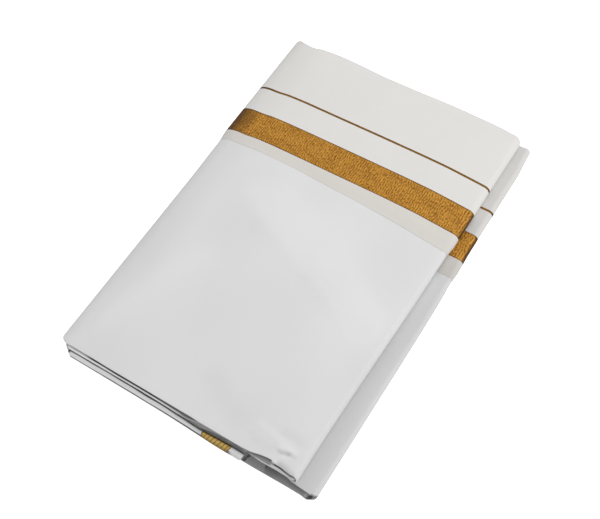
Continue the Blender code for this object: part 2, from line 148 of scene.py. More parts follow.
# creases pressed into the top: X and Y from, X and Y to, half width, height (below 0: trough)
CREASES = (
    (-0.0640, 0.0196, 0.0221, -0.0175, 0.0130, 0.00055),
    (0.0221, -0.0175, 0.0965, -0.0490, 0.0120, 0.00060),
    (-0.0430, -0.0096, 0.0221, -0.0315, 0.0080, -0.00022),
    (0.0221, -0.0315, 0.0735, -0.0566, 0.0070, -0.00030),
    (0.0643, -0.1650, 0.0933, -0.1703, 0.0035, 0.00040),
    (0.0842, -0.1621, 0.1032, -0.1625, 0.0045, -0.00045),
    (0.0885, -0.1774, 0.0960, -0.1757, 0.0016, -0.00095),
    (0.0968, -0.1759, 0.1033, -0.1754, 0.0016, -0.00085),
    (0.0885, -0.1740, 0.1010, -0.1722, 0.0026, 0.00060),
    (0.0900, -0.1800, 0.0915, -0.1845, 0.0018, 0.00035),
    (0.0955, -0.1862, 0.1080, -0.1876, 0.0036, -0.00100),
    (0.0600, -0.1762, 0.0625, -0.1752, 0.0020, -0.00020),
    (0.0890, -0.1796, 0.0930, -0.1858, 0.0013, -0.00030),
    (0.0079, -0.1526, 0.0413, -0.1696, 0.0120, -0.00040),
    (0.0650, -0.1800, 0.0880, -0.1790, 0.0040, -0.00035),
    (0.1022, -0.1780, 0.1100, -0.1880, 0.0045, -0.00040),
    (-0.1050, -0.1500, -0.0700, -0.0600, 0.0150, 0.00030),
    (-0.0900, 0.1700, -0.0200, 0.1550, 0.0090, 0.00022),
    (0.0400, 0.1720, 0.1000, 0.1500, 0.0080, 0.00024),
    (0.0924, 0.0932, 0.0919, 0.0723, 0.0006, 0.00018),
    (0.0955, 0.0920, 0.0950, 0.0723, 0.0005, 0.00012),
    (-0.0359, 0.0892, -0.0270, 0.0747, 0.0008, -0.00015),
)
# marks of painted shade in the folds, or spots where it is lifted: X and Y from, X and Y to, half
# width
MARKS = {
    "wrinkled patch": (0.0960, -0.1868, 0.1080, -0.1885, 0.0028),
    "wrinkle": (0.0908, -0.1774, 0.0980, -0.1740, 0.0013),
    "mouth": (0.1238, -0.1934, 0.1262, -0.1922, 0.0013),
    "mouth inside": (0.1242, -0.1916, 0.1264, -0.1903, 0.0017),
    "slit": (0.0650, -0.1870, 0.0633, -0.1935, 0.0010),
    "light chip": (0.1205, -0.1936, 0.1218, -0.1912, 0.0014),
    "step": (0.0814, -0.1868, 0.0820, -0.1888, 0.0007),
    "light gap": (0.0889, -0.1866, 0.0902, -0.1869, 0.0008),
}
RELIEF_FADE = 0.05       # share of the top over which the relief fades out at either fold
# slow swells of the top: length in X, length in Y, phase, height
SWELLS = (
    (0.190, 0.260, 0.6, 0.00010), (-0.120, 0.150, 2.1, 0.00007), (0.075, 0.210, 4.0, 0.00005))


# ---- tables and arcs
def curve(rows, x):
    """Smooth curve through the rows' points: cubic pieces whose shared slopes are the harmonic
    mean of the two chords' slopes, or level where one rises and the other falls."""
    at, value = np.array(rows).T
    chord = np.diff(value) / np.diff(at)
    same_way = np.maximum(chord[:-1] * chord[1:], 0.0)
    total = chord[:-1] + chord[1:]
    slope = np.concatenate((chord[:1], 2 * same_way / np.where(total == 0, 1.0, total), chord[-1:]))
    x = np.clip(x, at[0], at[-1])
    i = np.clip(np.searchsorted(at, x) - 1, 0, len(at) - 2)
    step = at[i + 1] - at[i]
    u = (x - at[i]) / step
    start = (1 + 2 * u) * (1 - u) ** 2 * value[i] + u * (1 - u) ** 2 * step * slope[i]
    end = u * u * (3 - 2 * u) * value[i + 1] - u * u * (1 - u) * step * slope[i + 1]
    return start + end


def ease(low, high, x):
    """0 below low, 1 above high, and three u squared less two u cubed between."""
    u = np.clip((x - low) / (high - low), 0.0, 1.0)
    return u * u * (3 - 2 * u)


def corner(distance, radius):
    """How far a quarter round in plan falls back: radius less the circle's height there."""
    u = np.clip(distance / radius, 0.0, CORNER_LAST)
    return radius * (1 - np.sqrt(1 - u * u))


def nose(distance, radius):
    """Share of the full half thickness at a distance from a half round end, 1 past its radius."""
    u = 1 - np.clip(distance / radius, 0.0, 1.0)
    return np.sqrt(1 - u * u)


# ---- the wrapping path
# stretches: 0 under the upper book, 1 upper fold, 2 top, 3 spine, 4 underside, 5 lower fold,
# 6 on the lower book, 7 round the inside of the spine
def levels(y):
    """Heights of the panel's outer face: underside, lower book, upper book's underside."""
    room = RISE * ease(FLAP_SPREAD_FROM, FLAP_SPREAD_TO, y)
    return room, MIDDLE - GAP / 2 - room, MIDDLE + GAP / 2 + room


def wrap(stretch, place, y, out):
    """X and Z on the path, out metres outside the panel's outer face: straight runs at their
    level, half circles at the two folds, and half ellipses outside and inside the spine."""
    stretch, place, y, out = np.broadcast_arrays(stretch, place, y, out)
    under, lower_top, upper_under = levels(y)
    upper_radius = (COVER_TOP - upper_under) / 2
    lower_radius = (lower_top - under) / 2
    upper_x = curve(UPPER_EDGE, y) - upper_radius
    lower_x = curve(LOWER_EDGE, y) - lower_radius
    edge = curve(SPINE_EDGE, y)
    spine_x = edge + SPINE_DEPTH
    spine_half = (COVER_TOP - under) / 2
    slot_half = (upper_under - lower_top) / 2
    inside_reach = SLOT_END - (edge + BOOK + out)
    turn = np.pi * (place - 0.5)
    c, s = np.cos(turn), np.sin(turn)
    x = np.choose(stretch, [
        SLOT_END + (upper_x - SLOT_END) * place, upper_x + (upper_radius + out) * c,
        upper_x + (spine_x - upper_x) * place, spine_x - (SPINE_DEPTH + out) * c,
        spine_x + (lower_x - spine_x) * place, lower_x + (lower_radius + out) * c,
        lower_x + (SLOT_END - lower_x) * place, SLOT_END - inside_reach * c])
    z = np.choose(stretch, [
        upper_under - out, COVER_TOP - upper_radius + (upper_radius + out) * s,
        COVER_TOP + out, under + spine_half - (spine_half + out) * s,
        under - out, under + lower_radius + (lower_radius + out) * s,
        lower_top + out, MIDDLE + (slot_half - out) * s])
    return x, z


def across(stretch, place, y):
    """X of the panel's outer face at each station and Y."""
    return wrap(stretch, place, y, 0.0)[0]


def near_edge(stretch, place):
    """Y of the panel's near fold at a station, with the left corner rounded in plan."""
    x = across(stretch, place, -HALF_LENGTH)
    top, under, inner = (curve(rows, x) for rows in (NEAR_TOP, NEAR_UNDER, NEAR_GAP))
    y = np.choose(stretch, [
        inner, inner + (top - inner) * place, top, top + (under - top) * place,
        under, under + (inner - under) * place, inner, inner])
    return y + corner(NEAR_LEFT_FROM - x, NEAR_LEFT_RADIUS)


def far_edge(stretch, place):
    """Y of the far fold at a station, with the upper book's right corner rounded in plan."""
    x = across(stretch, place, HALF_LENGTH)
    upper = stretch < 3
    return curve(FAR_EDGE, x) - upper * corner(x - FAR_RIGHT_FROM, FAR_RIGHT_RADIUS)


def border_offset(stretch, place):
    """How far the border lies from its middle Y: a bow on the top, askew underneath."""
    x = across(stretch, place, BAND_HIGH)
    bow = curve(BORDER_BOW, x)
    left, right, shift = BORDER_BOW[0][1], BORDER_BOW[-1][1], BORDER_SHIFT_UNDER
    return np.choose(stretch, [
        right, bow, bow, bow, left + (shift - left) * place, shift, shift,
        shift + (right - shift) * place])


def stations(counts):
    """Stations round the closed path as two columns, with so many even steps on each stretch."""
    rows = [(number, step / count) for number, count in enumerate(counts) for step in range(count)]
    stretch, place = np.array(rows, float).T
    return stretch[:, None].astype(int), place[:, None]


def bell(x, y, x0, y0, x1, y1, width):
    """Bell curve of the distance in plan to the line between two points, 1 on the line."""
    along_x, along_y = x1 - x0, y1 - y0
    share = ((x - x0) * along_x + (y - y0) * along_y) / (along_x ** 2 + along_y ** 2)
    share = np.clip(share, 0.0, 1.0)
    distance = np.hypot(x - x0 - along_x * share, y - y0 - along_y * share)
    return np.exp(-(distance / width) ** 2)


def mark(name, x, y):
    """The bell curve round a line of the table of marks."""
    return bell(x, y, *MARKS[name])


def relief(stretch, place, x, y):
    """How far the top is pressed or raised: each crease adds its height times its bell curve,
    each swell a sine; it fades out round the folds."""
    raised = np.zeros(np.broadcast(x, y).shape)
    for *line, width, height in CREASES:
        raised += height * bell(x, y, *line, width)
    for long_x, long_y, phase, height in SWELLS:
        raised += height * np.sin(2 * np.pi * (x / long_x + y / long_y) + phase)
    fade = ease(0.0, RELIEF_FADE, place) * ease(0.0, RELIEF_FADE, 1 - place)
    return raised * np.where(stretch == 2, fade, 0.0)


def lower_shade(stretch, place, x, y):
    """How deep the lower book lies in the upper one's shade: slight at its outer fold, more
    within 5 mm of it, and most a few millimetres beside the upper book. The spine's slight
    shade is added, less towards the near end."""
    inward = curve(LOWER_EDGE, y) - x
    beside = x - curve(UPPER_EDGE, y)
    depth = 0.08 + 0.12 * ease(0.0003, 0.0042, inward) + 0.06 * (1 - ease(0.0020, 0.0090, beside))
    depth = depth - 0.11 * (1 - ease(0.0005, 0.0030, beside)) + 0.02 * ease(0.050, 0.060, y)
    depth = depth + (0.02 + 0.03 * ease(-0.090, -0.010, y)) * (1 - ease(0.040, 0.060, y))
    lit = (stretch == 6) | (stretch == 5) & (place > 0.5)
    spine = (stretch == 3) + (stretch == 2) * ease(0.88, 1.0, place)
    return depth * lit + 0.055 * spine * ease(-0.170, -0.060, y)


# ---- meshes
SHARP_FOLD = np.radians(50)


def path_length(x, z):
    """Distance along each column of the grid, summed from chord to chord."""
    steps = np.hypot(np.diff(x, axis=0), np.diff(z, axis=0))
    return np.concatenate((np.zeros((1, x.shape[1])), np.cumsum(steps, axis=0)), axis=0)


def shell(name, face, back, uv, look, closed=True, **marks):
    """Closed thin body from two matching grids, the outer face and the back. Their long edges
    are joined along the path, and the two ends too unless the path itself closes. The grids of
    an open piece run the other way round, so its faces are turned over at the end.

    uv is a grid of two lengths in metres. Each mark is kept as an attribute: one grid of
    numbers, or a pair of them for the outer face and the back.
    """
    count, rows = face.shape[:2]
    ring = np.concatenate((face, back[:, ::-1]), axis=1)
    index = np.arange(count * 2 * rows).reshape(count, 2 * rows)
    following = np.roll(index, -1, axis=1)
    ahead = np.roll(index, -1, axis=0)
    beyond = np.roll(following, -1, axis=0)
    quads = grid(index, following, beyond, ahead)
    faces = quads[:count if closed else -1].reshape(-1, 4)
    if not closed:
        for end, turned in ((index[0], True), (index[-1], False)):
            out, inner = end[:rows], end[rows:][::-1]
            cap = grid(out[:-1], out[1:], inner[1:], inner[:-1])
            faces = np.concatenate((faces, cap[:, ::-1] if turned else cap))
    mesh = bpy.data.meshes.new(name)
    mesh.from_pydata(ring.reshape(-1, 3), [], faces.tolist())
    both = np.concatenate((uv, uv[:, ::-1]), axis=1).reshape(-1, 2)
    layer = mesh.uv_layers.new(name="cloth")
    layer.data.foreach_set("uv", both[faces.ravel()].astype(np.float32).ravel())
    for key, values in marks.items():
        sides = values if isinstance(values, tuple) else (values, values)
        front, behind = (np.broadcast_to(side, face.shape[:2]) for side in sides)
        values = np.concatenate((front, behind[:, ::-1]), axis=1)
        layer = mesh.attributes.new(key, "FLOAT", "POINT")
        layer.data.foreach_set("value", values.astype(np.float32).ravel())
    if not closed:
        mesh.flip_normals()
    mesh.shade_smooth()
    mesh.set_sharp_from_angle(angle=SHARP_FOLD)
    mesh.materials.append(finish(look))
    return place_in_scene(name, mesh)


def place_in_scene(name, data):
    thing = bpy.data.objects.new(name, data)
    bpy.context.scene.collection.objects.link(thing)
    return thing


def grid(*axes):
    """Grids of numbers side by side, as one grid of points or of lengths."""
    return np.stack(np.broadcast_arrays(*axes), axis=-1)


def wrapped(stretch, place, y, out):
    """Points of a wrapping sheet, for grids of Y and outward distance."""
    x, z = wrap(stretch, place, y, out)
    return grid(x, y, z)


def cloth_uv(stretch, place, y):
    """Lengths along and across the cloth: the path's length at out 0, and Y."""
    return grid(path_length(*wrap(stretch, place, y, 0.0)), y)


def rest(piece, nodes):
    """Settles a finished piece: attaches it to its body and hides the solids it stands for."""
    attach(piece, "root")
    if nodes:
        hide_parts(*nodes)
    return piece


# ---- materials
class Nodes:
    """Short hand for adding and joining the nodes of one material."""

    def __init__(self, name):
        self.material = bpy.data.materials.new(name)
        self.material.use_nodes = True
        self.tree = self.material.node_tree
        self.shader = self.tree.nodes["Principled BSDF"]

    def add(self, kind, settings=None, **inputs):
        node = self.tree.nodes.new(kind)
        for key, value in (settings or {}).items():
            setattr(node, key, value)
        self.settle(node, **inputs)
        return node

    def give(self, node, socket, value):
        if isinstance(value, bpy.types.NodeSocket):
            self.tree.links.new(value, node.inputs[socket])
        else:
            node.inputs[socket].default_value = value

    def settle(self, node, **inputs):
        for key, value in inputs.items():
            self.give(node, key.replace("_", " "), value)

    def maths(self, operation, first, second=0.0):
        node = self.add("ShaderNodeMath", {"operation": operation})
        self.give(node, 0, first)
        self.give(node, 1, second)
        return node.outputs[0]

    def weighed(self, *terms):
        """Sum of the values, each times its weight."""
        total, *others = (self.maths("MULTIPLY", value, weight) for value, weight in terms)
        for other in others:
            total = self.maths("ADD", total, other)
        return total

    def blend(self, factor, first, second, kind="MIX"):
        node = self.add("ShaderNodeMix", {"data_type": "RGBA", "blend_type": kind})
        self.give(node, 0, factor)
        self.give(node, 6, first)
        self.give(node, 7, second)
        return node.outputs[2]

    def ramp(self, value, stops):
        """Grey between two stops, each a position and how light it is."""
        node = self.add("ShaderNodeValToRGB", Fac=value)
        for element, (position, grey) in zip(node.color_ramp.elements, stops):
            element.position = position
            element.color = (grey, grey, grey, 1.0)
        return node.outputs[0]

    def attribute(self, name):
        return self.add("ShaderNodeAttribute", {"attribute_name": name}).outputs["Fac"]

    def cloth_coordinates(self, scale=(1.0, 1.0, 1.0), turn=0.0):
        coordinates = self.add("ShaderNodeTexCoord").outputs["UV"]
        return self.add("ShaderNodeMapping", Vector=coordinates, Scale=scale,
                        Rotation=(0.0, 0.0, turn)).outputs[0]

    def noise(self, scale, detail=2.0, roughness=0.5):
        """Noise whose cells are so many metres along the path and across the cloth."""
        vector = self.cloth_coordinates((1 / scale[0], 1 / scale[1], 1.0))
        node = self.add("ShaderNodeTexNoise", Vector=vector, Scale=1.0, Detail=detail,
                        Roughness=roughness)
        return node.outputs[0]

    def threads(self, pitch, axis, waver=0.0, turn=0.0):
        """Ribs with the given pitch in metres, as a smooth wave from 0 to 1."""
        node = self.add("ShaderNodeTexWave", {"bands_direction": axis},
                        Vector=self.cloth_coordinates(turn=turn),
                        Scale=2 * np.pi / 20 / pitch, Distortion=waver)
        return node.outputs[0]


WEAVE_DEPTH, ZARI_DEPTH = 0.00005, 0.00025


def linear(colour):
    """Linear colour from one given in display values from 0 to 255."""
    c = np.array(colour, float) / 255
    value = np.where(c <= 0.04045, c / 12.92, ((c + 0.055) / 1.055) ** 2.4)
    return (*value.tolist(), 1.0)


def plain_weave(nodes, pitch):
    """Bump of a plain weave: the difference of two crossing waves, with slubs."""
    crossing = nodes.blend(1.0, nodes.threads(pitch, "X"), nodes.threads(pitch, "Y"), "DIFFERENCE")
    height = nodes.maths("ADD", crossing, nodes.noise((0.0030, 0.0006), 3.0))
    bump = nodes.add("ShaderNodeBump", Height=height, Strength=1.0, Distance=WEAVE_DEPTH)
    return bump.outputs[0]


def cotton(name, colour, variation, sheen, thread):
    """Bleached cotton: plain weave, slubs along the threads and slow change of shade, with painted
    shade mixed into its colour wherever the mesh's attribute asks for it: deep in folds, under
    overhangs and on the lower book."""
    nodes = Nodes(name)
    slow = nodes.noise((0.060, 0.080), 1.0)
    slub = nodes.noise((0.0040, 0.0007), 2.0)
    shade = nodes.ramp(nodes.weighed((slow, 0.6), (slub, 0.4)),
                       ((0.30, 1.0 - variation), (0.70, 1.0)))
    base = nodes.blend(1.0, tone(colour), shade, "MULTIPLY")
    # painted shade: the attribute blends the colour towards the painted shade colour
    base = nodes.blend(nodes.attribute("hollow"), base, tone("hollow"))
    nodes.settle(nodes.shader, Base_Color=base, Roughness=0.88, Sheen_Weight=sheen,
                 Sheen_Roughness=0.45, Specular_IOR_Level=0.25,
                 Normal=plain_weave(nodes, thread))
    return nodes.material


# the band's dark rims over its share from the middle, and the bars' foot and gaps
BAND_RIM = ((0.462, 0.0), (0.485, 1.0))
BARS_FOOT = ((0.15, 0.88), (0.95, 0.12))
BAR_GAPS = ((0.72, 0.0), (0.96, 0.62))
BAR_SLANT, BAR_PITCH = np.radians(24), 0.0032


def zari(name, bright, dark, bars):
    """Gold zari: fine ribs across the band, flecks of thread, dark edges, and painted shade over
    the folds. With bars: slanted bars between dark gaps, and darker towards the foot."""
    nodes = Nodes(name)
    flecks = nodes.noise((0.0012, 0.0024), 2.0, 0.6)
    patches = nodes.noise((0.012, 0.010), 1.0)
    ribs = nodes.threads(0.0023, "X", 7.0)
    mixed = nodes.weighed((flecks, 0.70), (ribs, 0.14), (patches, 0.16))
    base = nodes.blend(nodes.ramp(mixed, ((0.36, 0.0), (0.64, 1.0))), tone(dark), tone(bright))
    share = nodes.attribute("share")
    edge = tone("gold_edge")
    if bars:
        rim = nodes.ramp(share, BARS_FOOT)
    else:
        from_middle = nodes.maths("ABSOLUTE", nodes.maths("SUBTRACT", share, 0.5))
        rim = nodes.ramp(from_middle, BAND_RIM)
    base = nodes.blend(nodes.maths("MULTIPLY", rim, 0.75), base, edge)
    if bars:
        slanted = nodes.threads(BAR_PITCH, "X", turn=BAR_SLANT)
        base = nodes.blend(nodes.ramp(slanted, BAR_GAPS), base, edge)
    # painted shade: the attribute bend blends the gold towards the dark edge colour round the
    # folds, over the spine and where the end's strip is tucked; it also darkens both ends of the
    # end's gold segment
    base = nodes.blend(nodes.attribute("bend"), base, edge)
    height = nodes.maths("ADD", mixed, nodes.maths("MULTIPLY", nodes.threads(0.0004, "Y"), 0.2))
    bump = nodes.add("ShaderNodeBump", Height=height, Strength=0.8, Distance=ZARI_DEPTH)
    nodes.settle(nodes.shader, Base_Color=base, Metallic=0.25, Roughness=0.60,
                 Specular_IOR_Level=0.20, Normal=bump.outputs[0])
    return nodes.material


# cotton finishes: colour, change of shade, sheen and thread pitch
COTTONS = {
    "white cotton": ("white", 0.03, 0.10, 0.00034),
    "flap cotton": ("flap", 0.03, 0.10, 0.00034),
    # painted light: the turned-up end's cotton is a lighter copy so that its face looks lit
    "end cotton": ("end", 0.03, 0.10, 0.00034),
    # painted light: the plies' cotton is a lighter copy so that their lips look lit
    "white cotton inside": ("inside", 0.05, 0.05, 0.00034),
    "selvedge cotton": ("selvedge", 0.04, 0.08, 0.00028),
}
# zari finishes: colour of the brightest and the darkest thread, and whether it has bars
ZARIS = {
    "gold zari": ("gold_bright", "gold_dark", False),
    "dark gold zari": ("line_bright", "line_dark", False),
    "gold zari with bars": ("bar_bright", "bar_dark", True),
}


def tone(setting):
    """A colour setting with full cover."""
    return (*getattr(bpy.context.scene.dhoti_colours, setting), 1.0)


def finish(name):
    """The cotton or zari finish of that name, made once."""
    made = bpy.data.materials.get(name)
    if made:
        return made
    return cotton(name, *COTTONS[name]) if name in COTTONS else zari(name, *ZARIS[name])


# ---- settings
def number(label, about, value, **kind):
    return bpy.props.FloatProperty(name=label, description=about, default=value, **kind)


def length(label, about, value):
    return number(label, about, value, unit="LENGTH", precision=5)


def colour(label, about, value):
    return bpy.props.FloatVectorProperty(name=label, description=about, size=3, subtype="COLOR",
                                         default=linear(value)[:3], min=0.0, max=1.0)


class DhotiSizes(bpy.types.PropertyGroup):
    """Sizes of the cloth that a user may change."""

    flap_wall: length("Flap thickness", "Thickness of the turned-back border's sheet", 0.00030)
    flap_edge_rise: length("Flap edge", "Height of the flap's free edge over the panel", 0.00033)
    flap_ramp: length("Flap ramp", "Distance over which the flap rises to its full height", 0.0110)
    strip_wall: length("Strip thickness", "Thickness of the turned-up end's sheet", 0.00040)
    relief_share: number("Creases", "Strength of the creases pressed into the top", 1.0)


class DhotiColours(bpy.types.PropertyGroup):
    """Colours of the cloth, its border and the floor."""

    white: colour("Cotton", "Bleached cotton", (239, 239, 240))
    # painted light: set lighter than the panel's cotton so that the plies' lips look lit
    inside: colour("Inner cotton", "Cotton between the layers", (250, 250, 250))
    # painted light: set lighter than the panel's cotton so that the turned-up end looks lit
    end: colour("End cotton", "Cotton of the turned-up end", (252, 252, 252))
    # colour of the painted shade that darkens the cotton in folds, in recesses and under overhangs
    hollow: colour("Painted shade", "Cotton deep in a fold", (84, 82, 83))
    flap: colour("Flap cotton", "Cotton of the turned-back border", (236, 234, 231))
    selvedge: colour("Margin", "Margin below the gold band", (228, 224, 218))
    gold_bright: colour("Gold, bright", "Brightest zari thread", (222, 162, 68))
    gold_dark: colour("Gold, dark", "Darkest zari thread", (134, 86, 20))
    gold_edge: colour("Gold, edge", "Edge lines of the zari", (66, 38, 14))
    line_bright: colour("Line, bright", "Brightest thread of the thin line", (146, 102, 28))
    line_dark: colour("Line, dark", "Darkest thread of the thin line", (106, 74, 10))
    bar_bright: colour("Bars, bright", "Brightest thread of the end's bars", (255, 226, 140))
    bar_dark: colour("Bars, dark", "Darkest thread of the end's bars", (240, 192, 92))
    floor: colour("Floor", "Studio floor", (252, 252, 252))


class DhotiStage(bpy.types.PropertyGroup):
    """Light and camera."""

    key: number("Key light", "Power of the large soft light", 6.5, unit="POWER")
    fill: number("Fill light", "Power of the light from above", 1.9, unit="POWER")
    lens: number("Lens", "Focal length in millimetres", 66.06, unit="CAMERA")
    distance: length("Camera distance", "From the camera to the point it looks at", 0.9757)
    elevation: number("Elevation", "Camera above the floor", np.radians(58.53), subtype="ANGLE")
    azimuth: number("Azimuth", "Camera round the cloth", np.radians(39.19), subtype="ANGLE")
    roll: number("Roll", "Camera turned about its own axis", np.radians(-8.0), subtype="ANGLE")


# ---- pieces
COVER_COUNTS = (12, 16, 140, 26, 76, 16, 24, 14)
TOP_CROWDING = 1.35      # power that draws the top's stations towards +X
# even steps of the underside's stations against their place, close together at its marks
UNDER_CROWDING = (
    (0.0, 0.0), (0.421, 0.722), (0.553, 0.770), (0.592, 0.808), (0.724, 0.828), (0.882, 0.965),
    (1.0, 1.0))
# line of the broad ridge across the top, which gets less painted shade so that it looks lit, and
# its half width
RIDGE = ((-0.033, 0.026), (0.029, -0.006), (0.088, -0.043))
RIDGE_WIDTH = 0.0260
BEAD_RUN = 0.0060        # distance over which the doubled near fold thins to one wall
CLOSE_FROM, CLOSE_TO, CLOSE_ROWS, WIDE_ROWS = 0.0018, 0.0560, 64, 58
# painted shade is laid on the lower book's near face past this X
PAINTED_SHADE_FROM = 0.0612     # X past which the near face of the lower book lies in shade
PLY_COUNTS = (40, 10, 70, 22, 40, 10, 40, 14)
PLY_INNER_BACK = 0.0030  # how much further back the plies start where they lie inside a book
PLY_ROWS = 50


def panel_rows(near, far):
    """Y of the panel's rows: round the near bead, close together near it, wider further on,
    and round the far end."""
    bead = BEAD * (1 - np.cos(np.radians((0, 15, 32, 50, 70, 90))))
    close = np.linspace(CLOSE_FROM, CLOSE_TO, CLOSE_ROWS)
    wide = np.linspace(0.0, 1.0, WIDE_ROWS + 1)[1:]
    tail = COVER_WALL / 2 * (1 - np.cos(np.radians((90, 60, 35, 15, 0))))
    start = near + close[-1]
    return np.concatenate((near + bead, near + close, start + (far - COVER_WALL - start) * wide,
                           far - tail), axis=1)


class DHOTI_OT_panel(bpy.types.Operator):
    """Outer panel: the sheet that wraps the whole stack, doubled at its beaded near fold"""

    bl_idname = "dhoti.panel"
    bl_label = "Outer panel"

    def execute(self, context):
        sizes = context.scene.dhoti_sizes
        stretch, place = stations(COVER_COUNTS)
        place = np.where(stretch == 2, place ** TOP_CROWDING, place)
        place = np.where(stretch == 4, np.interp(place, *zip(*UNDER_CROWDING)), place)
        path = stretch, place
        near = near_edge(*path)
        far = far_edge(*path) - COVER_TUCK
        y = panel_rows(near, far)
        bead = np.where((stretch == 0) | (stretch > 5), COVER_WALL / 2, BEAD)
        share = nose((y - near) * BEAD / bead, BEAD) * nose(far - y, COVER_WALL / 2)
        thick = COVER_WALL + (2 * bead - COVER_WALL) * (1 - ease(0.0, BEAD_RUN, y - near))
        x = across(*path, y)
        pressed = relief(*path, x, y) * sizes.relief_share
        face = wrapped(*path, y, pressed - thick / 2 * (1 - share))
        back = wrapped(*path, y, pressed - thick / 2 * (1 + share))
        uv = cloth_uv(*path, y)
        piece = shell("cover_cloth", face, back, uv, "white cotton",
                      hollow=self.shade(*path, x, y, (y - near) / bead, pressed))
        rest(piece, ["cover_panel"])
        return {"FINISHED"}

    def shade(self, stretch, place, x, y, inward, pressed):
        """How deep the panel lies in shade, outside and inside."""
        bottom = (stretch == 4) | (stretch == 3) & (place > 0.5) | (stretch == 5)
        shown = bottom & (x > PAINTED_SHADE_FROM)
        outside = self.outside(stretch, place, x, y, inward, pressed, bottom, shown)
        low = self.bottom_sheet(stretch, x, y, bottom, shown)
        inside = np.where(bottom, low, 1.0 - 0.5 * (stretch == 1)) * ease(0.02, 0.25, inward)
        return outside, np.maximum(outside, inside)

    def outside(self, stretch, place, x, y, inward, pressed, bottom, shown):
        """Painted shade on the outside: on the lower book, its near fold and the dark marks; on the
        top more in the troughs and at the wrinkles, and less along the broad ridge so that the
        ridge looks lit; and a painted dark stretch of the top's near bead."""
        ridge = np.maximum(bell(x, y, *RIDGE[0], *RIDGE[1], RIDGE_WIDTH),
                           bell(x, y, *RIDGE[1], *RIDGE[2], RIDGE_WIDTH))
        top = np.clip(0.055 * (1 - ridge) - 100 * pressed, 0.0, 1.0)
        top = top + 0.22 * mark("wrinkled patch", x, y) + 0.12 * mark("wrinkle", x, y)
        wraps = (stretch == 2) + (stretch == 1) * ease(0.2, 0.6, place)
        wraps = wraps + (stretch == 3) * (1 - ease(0.5, 1.0, place))
        dark = np.maximum(mark("mouth", x, y) * bottom,
                          np.minimum(1.5 * mark("slit", x, y), 1) * shown)
        edge = ease(0.0040, 0.0110, x) * (1 - ease(0.0300, 0.0420, x)) * (stretch == 2)
        depth = 0.50 * shown * (1 - ease(1.0, 2.0, inward)) + lower_shade(stretch, place, x, y)
        depth = np.maximum(depth + top * wraps, 0.95 * dark)
        return np.maximum(depth, 0.72 * edge * (1 - ease(0.02, 0.22, inward)))

    def bottom_sheet(self, stretch, x, y, bottom, shown):
        """Painted shade on the inside of the bottom sheet, deeper away from its near fold and past
        a step.
        """
        step = ease(0.0825, 0.0833, x + 0.265 * (y + 0.1923))
        inner = ease(-0.1925, -0.1855, y)
        later = ease(0.0880, 0.0980, x)
        low = 0.44 + 0.16 * step * (1 - later) + (0.06 + 0.14 * step + 0.06 * later) * inner
        low = np.minimum(low + 0.25 * mark("step", x, y), 1.0)
        low = shown * low * (1 - 0.75 * mark("light chip", x, y))
        fold = stretch == 5
        low = np.maximum(low, 0.95 * fold * ease(0.1205, 0.1225, x))
        low = low * (1 - 0.8 * fold * ease(0.1268, 0.1288, x))
        return np.maximum(low, bottom * mark("mouth inside", x, y))


